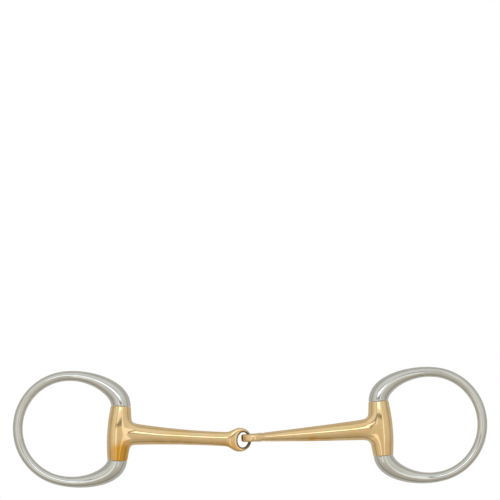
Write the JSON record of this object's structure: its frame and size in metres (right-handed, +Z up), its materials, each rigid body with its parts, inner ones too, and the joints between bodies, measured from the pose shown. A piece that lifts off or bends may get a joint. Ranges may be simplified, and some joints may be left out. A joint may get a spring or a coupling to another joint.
{
  "type": "snaffle bit",
  "caption": "Jointed horse bit: tapering mouthpiece halves linked eye through eye, with egg-shaped barrels and swivelling cheek rings.",
  "frame": {"origin": "under the middle of the bit's box, on the table it lies on, with both rings drooped until their far sides touch", "axes": "+X from the left ring to the right one along the mouthpiece, +Y across the mouthpiece along the barrels, +Z up from the table"},
  "size_m": [0.2662, 0.0656, 0.0134],
  "materials": {
    "gold_alloy": "polished copper alloy",
    "stainless": "polished stainless steel",
    "pin_steel": "ground stainless steel"
  },
  "bodies": {
    "left_half": {"left_mouthpiece": "gold_alloy"},
    "right_half": {"right_mouthpiece": "gold_alloy"},
    "left_cheek": {"left_cheek_ring": "stainless", "left_hinge_pin": "pin_steel"},
    "right_cheek": {"right_cheek_ring": "stainless", "right_hinge_pin": "pin_steel"}
  },
  "joints": [
    {"name": "centre_fold", "type": "hinge", "parent": "left_half", "child": "right_half", "pos_m": [0.00044, -0.00588, 0.0067], "axis": [-0.0423, 0.9991, 0], "range_deg": [-90, 90]},
    {"name": "left_ring_swing", "type": "hinge", "parent": "left_half", "child": "left_cheek", "pos_m": [-0.07336, -0.00242, 0.0067], "axis": [-0.0785, -0.9969, 0], "range_deg": [-174, 166]},
    {"name": "right_ring_swing", "type": "hinge", "parent": "right_half", "child": "right_cheek", "pos_m": [0.07327, -0.00149, 0.0067], "axis": [-0.0785, 0.9969, 0], "range_deg": [-174, 166]}
  ]
}
